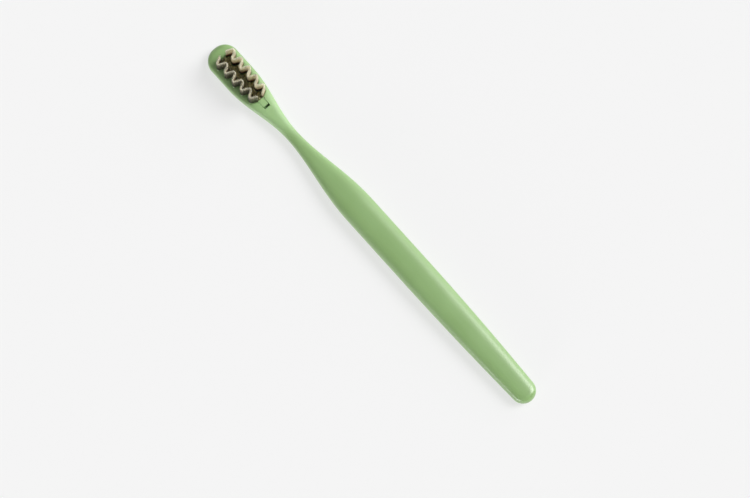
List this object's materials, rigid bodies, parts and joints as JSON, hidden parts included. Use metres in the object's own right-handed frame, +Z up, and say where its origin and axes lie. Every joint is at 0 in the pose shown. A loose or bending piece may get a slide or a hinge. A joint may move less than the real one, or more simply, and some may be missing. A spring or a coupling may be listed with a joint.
{
  "type": "toothbrush",
  "caption": "Slim manual toothbrush with a waisted neck and a lift-out insert that carries two standing waves of bristles.",
  "frame": {"origin": "middle of the brush's length and width, on the plane that its flat back rests on", "axes": "+X along the brush towards the tip of the head, +Y across it, +Z up through the bristles"},
  "size_m": [0.185, 0.013, 0.0135],
  "materials": {
    "handle_plastic": "satin moulded plastic, sage green",
    "insert_plastic": "satin moulded plastic, sage green",
    "wave_filament": "cream filament with a soft sheen, brown at its foot and dark olive in the left wave's outer row",
    "inner_filament": "olive brown filament"
  },
  "bodies": {
    "handle": {"handle": "handle_plastic"},
    "insert": {"bristle_plate": "insert_plastic", "wave_bristles_left": "wave_filament", "wave_bristles_right": "wave_filament", "inner_bristles": "inner_filament"}
  },
  "joints": [
    {"name": "insert_lift", "type": "slide", "parent": "handle", "child": "insert", "axis": [0, 0, 1], "range_m": [0, 0.01]}
  ]
}
